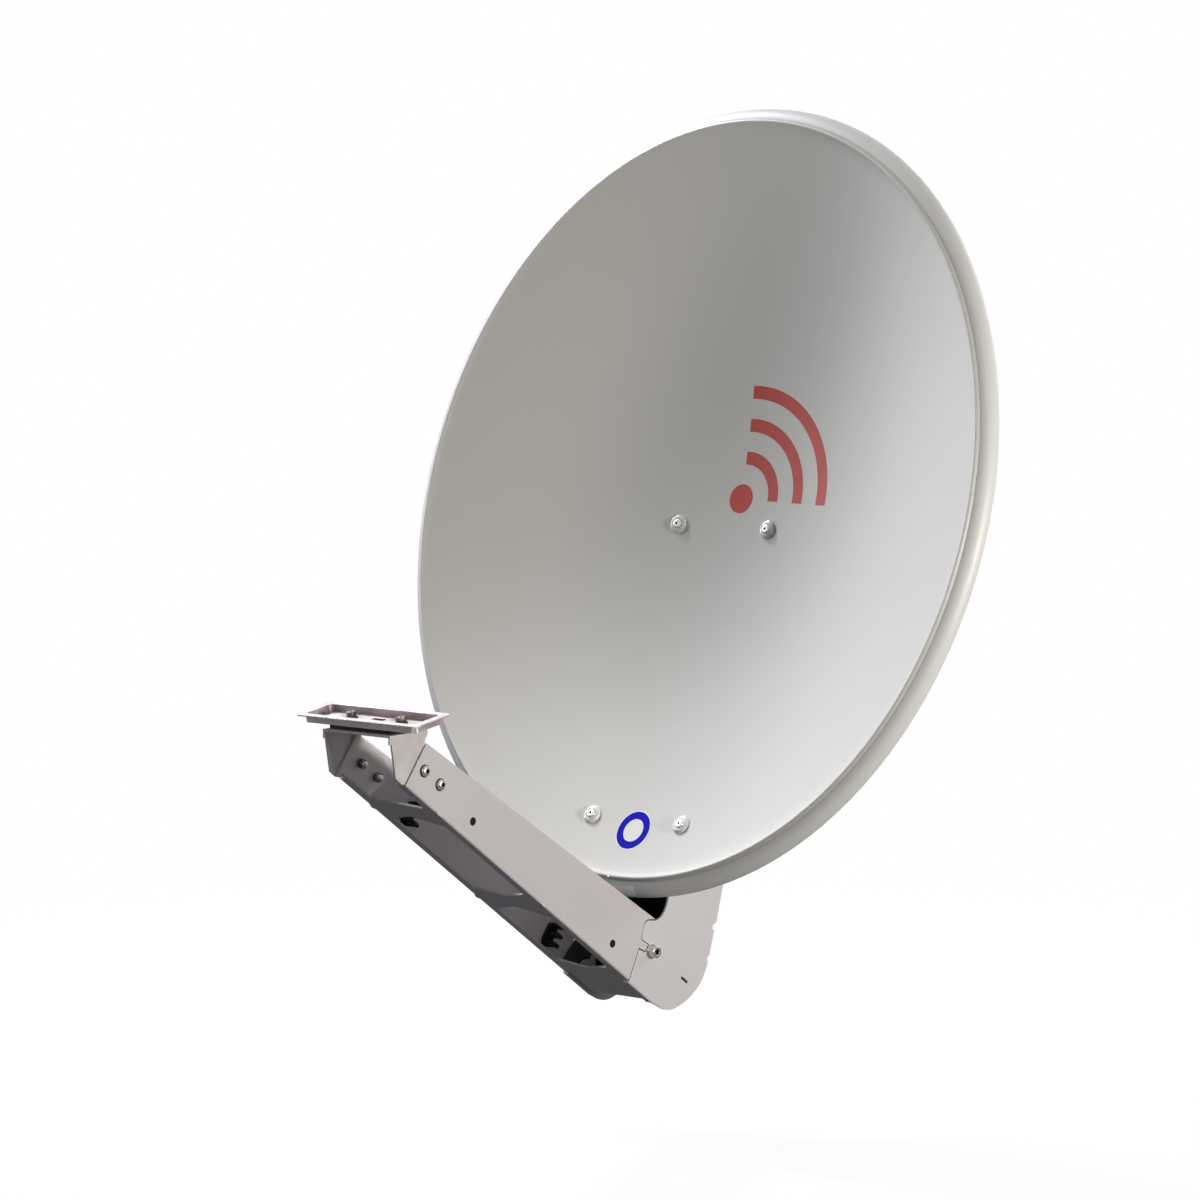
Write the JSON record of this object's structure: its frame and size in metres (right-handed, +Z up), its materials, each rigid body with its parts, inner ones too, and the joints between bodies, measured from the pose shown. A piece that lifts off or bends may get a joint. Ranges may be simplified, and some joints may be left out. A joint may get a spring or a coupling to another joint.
{
  "type": "satellite dish",
  "caption": "Offset parabolic satellite dish with rolled rim, perforated channel feed arm, feed tray, rear bracket with elevation slots and a U-bolt mast clamp.",
  "frame": {"origin": "on the mast's axis, midway between the two clamp saddles", "axes": "+Z up along the mast, the reflector faces -Y, +X is to the right when looking along +Y; at rest the beam points 40.6 degrees above the horizon"},
  "size_m": [0.8348, 0.6787, 1.0097],
  "materials": {
    "reflector_coat": "light grey powder coat, semi-matte",
    "bracket_coat": "warm grey powder coat, fine texture",
    "galvanised": "bare zinc-plated steel",
    "fastener_steel": "stainless steel fasteners",
    "rivet_metal": "dull aluminium",
    "black_plastic": "black weatherproof plastic"
  },
  "bodies": {
    "mast_mount": {"mast_bracket": "galvanised", "mast_saddles": "galvanised", "ubolt_washers": "fastener_steel", "ubolt_nuts": "fastener_steel", "pivot_bolt": "fastener_steel", "pivot_washers": "fastener_steel", "pivot_nut": "fastener_steel", "pivot_tube": "fastener_steel", "lock_bolts": "fastener_steel", "lock_washers": "fastener_steel", "lock_nuts": "fastener_steel"},
    "dish_head": {"reflector": "reflector_coat", "fixing_cups": "reflector_coat", "fixing_rivets": "rivet_metal", "rear_bracket": "bracket_coat", "bracket_tie": "bracket_coat", "foot_cover": "black_plastic", "plate_rivets": "rivet_metal", "feed_arm": "bracket_coat", "splice_plates": "bracket_coat", "arm_washers": "fastener_steel", "arm_bolts": "fastener_steel", "cable_clips": "black_plastic", "feed_bracket": "galvanised", "feed_screws": "fastener_steel", "feed_nuts": "fastener_steel", "tray_wedge": "black_plastic", "tray_bolts": "fastener_steel", "tray_washers": "fastener_steel", "tray_nuts": "fastener_steel"},
    "upper_ubolt": {"ubolt_upper": "fastener_steel"},
    "lower_ubolt": {"ubolt_lower": "fastener_steel"},
    "tray": {"feed_tray": "galvanised"}
  },
  "joints": [
    {"name": "elevation", "type": "hinge", "parent": "mast_mount", "child": "dish_head", "pos_m": [0, -0.075, -0.035], "axis": [-1, 0, 0], "range_deg": [-30.6, 9.4]},
    {"name": "tray_slide", "type": "slide", "parent": "dish_head", "child": "tray", "axis": [0, 0.9847, 0.1745], "range_m": [-0.006, 0.006]},
    {"name": "upper_ubolt_slide", "type": "slide", "parent": "mast_mount", "child": "upper_ubolt", "axis": [0, 1, 0], "range_m": [-0.014, 0.008]},
    {"name": "lower_ubolt_slide", "type": "slide", "parent": "mast_mount", "child": "lower_ubolt", "axis": [0, 1, 0], "range_m": [-0.014, 0.008]}
  ]
}
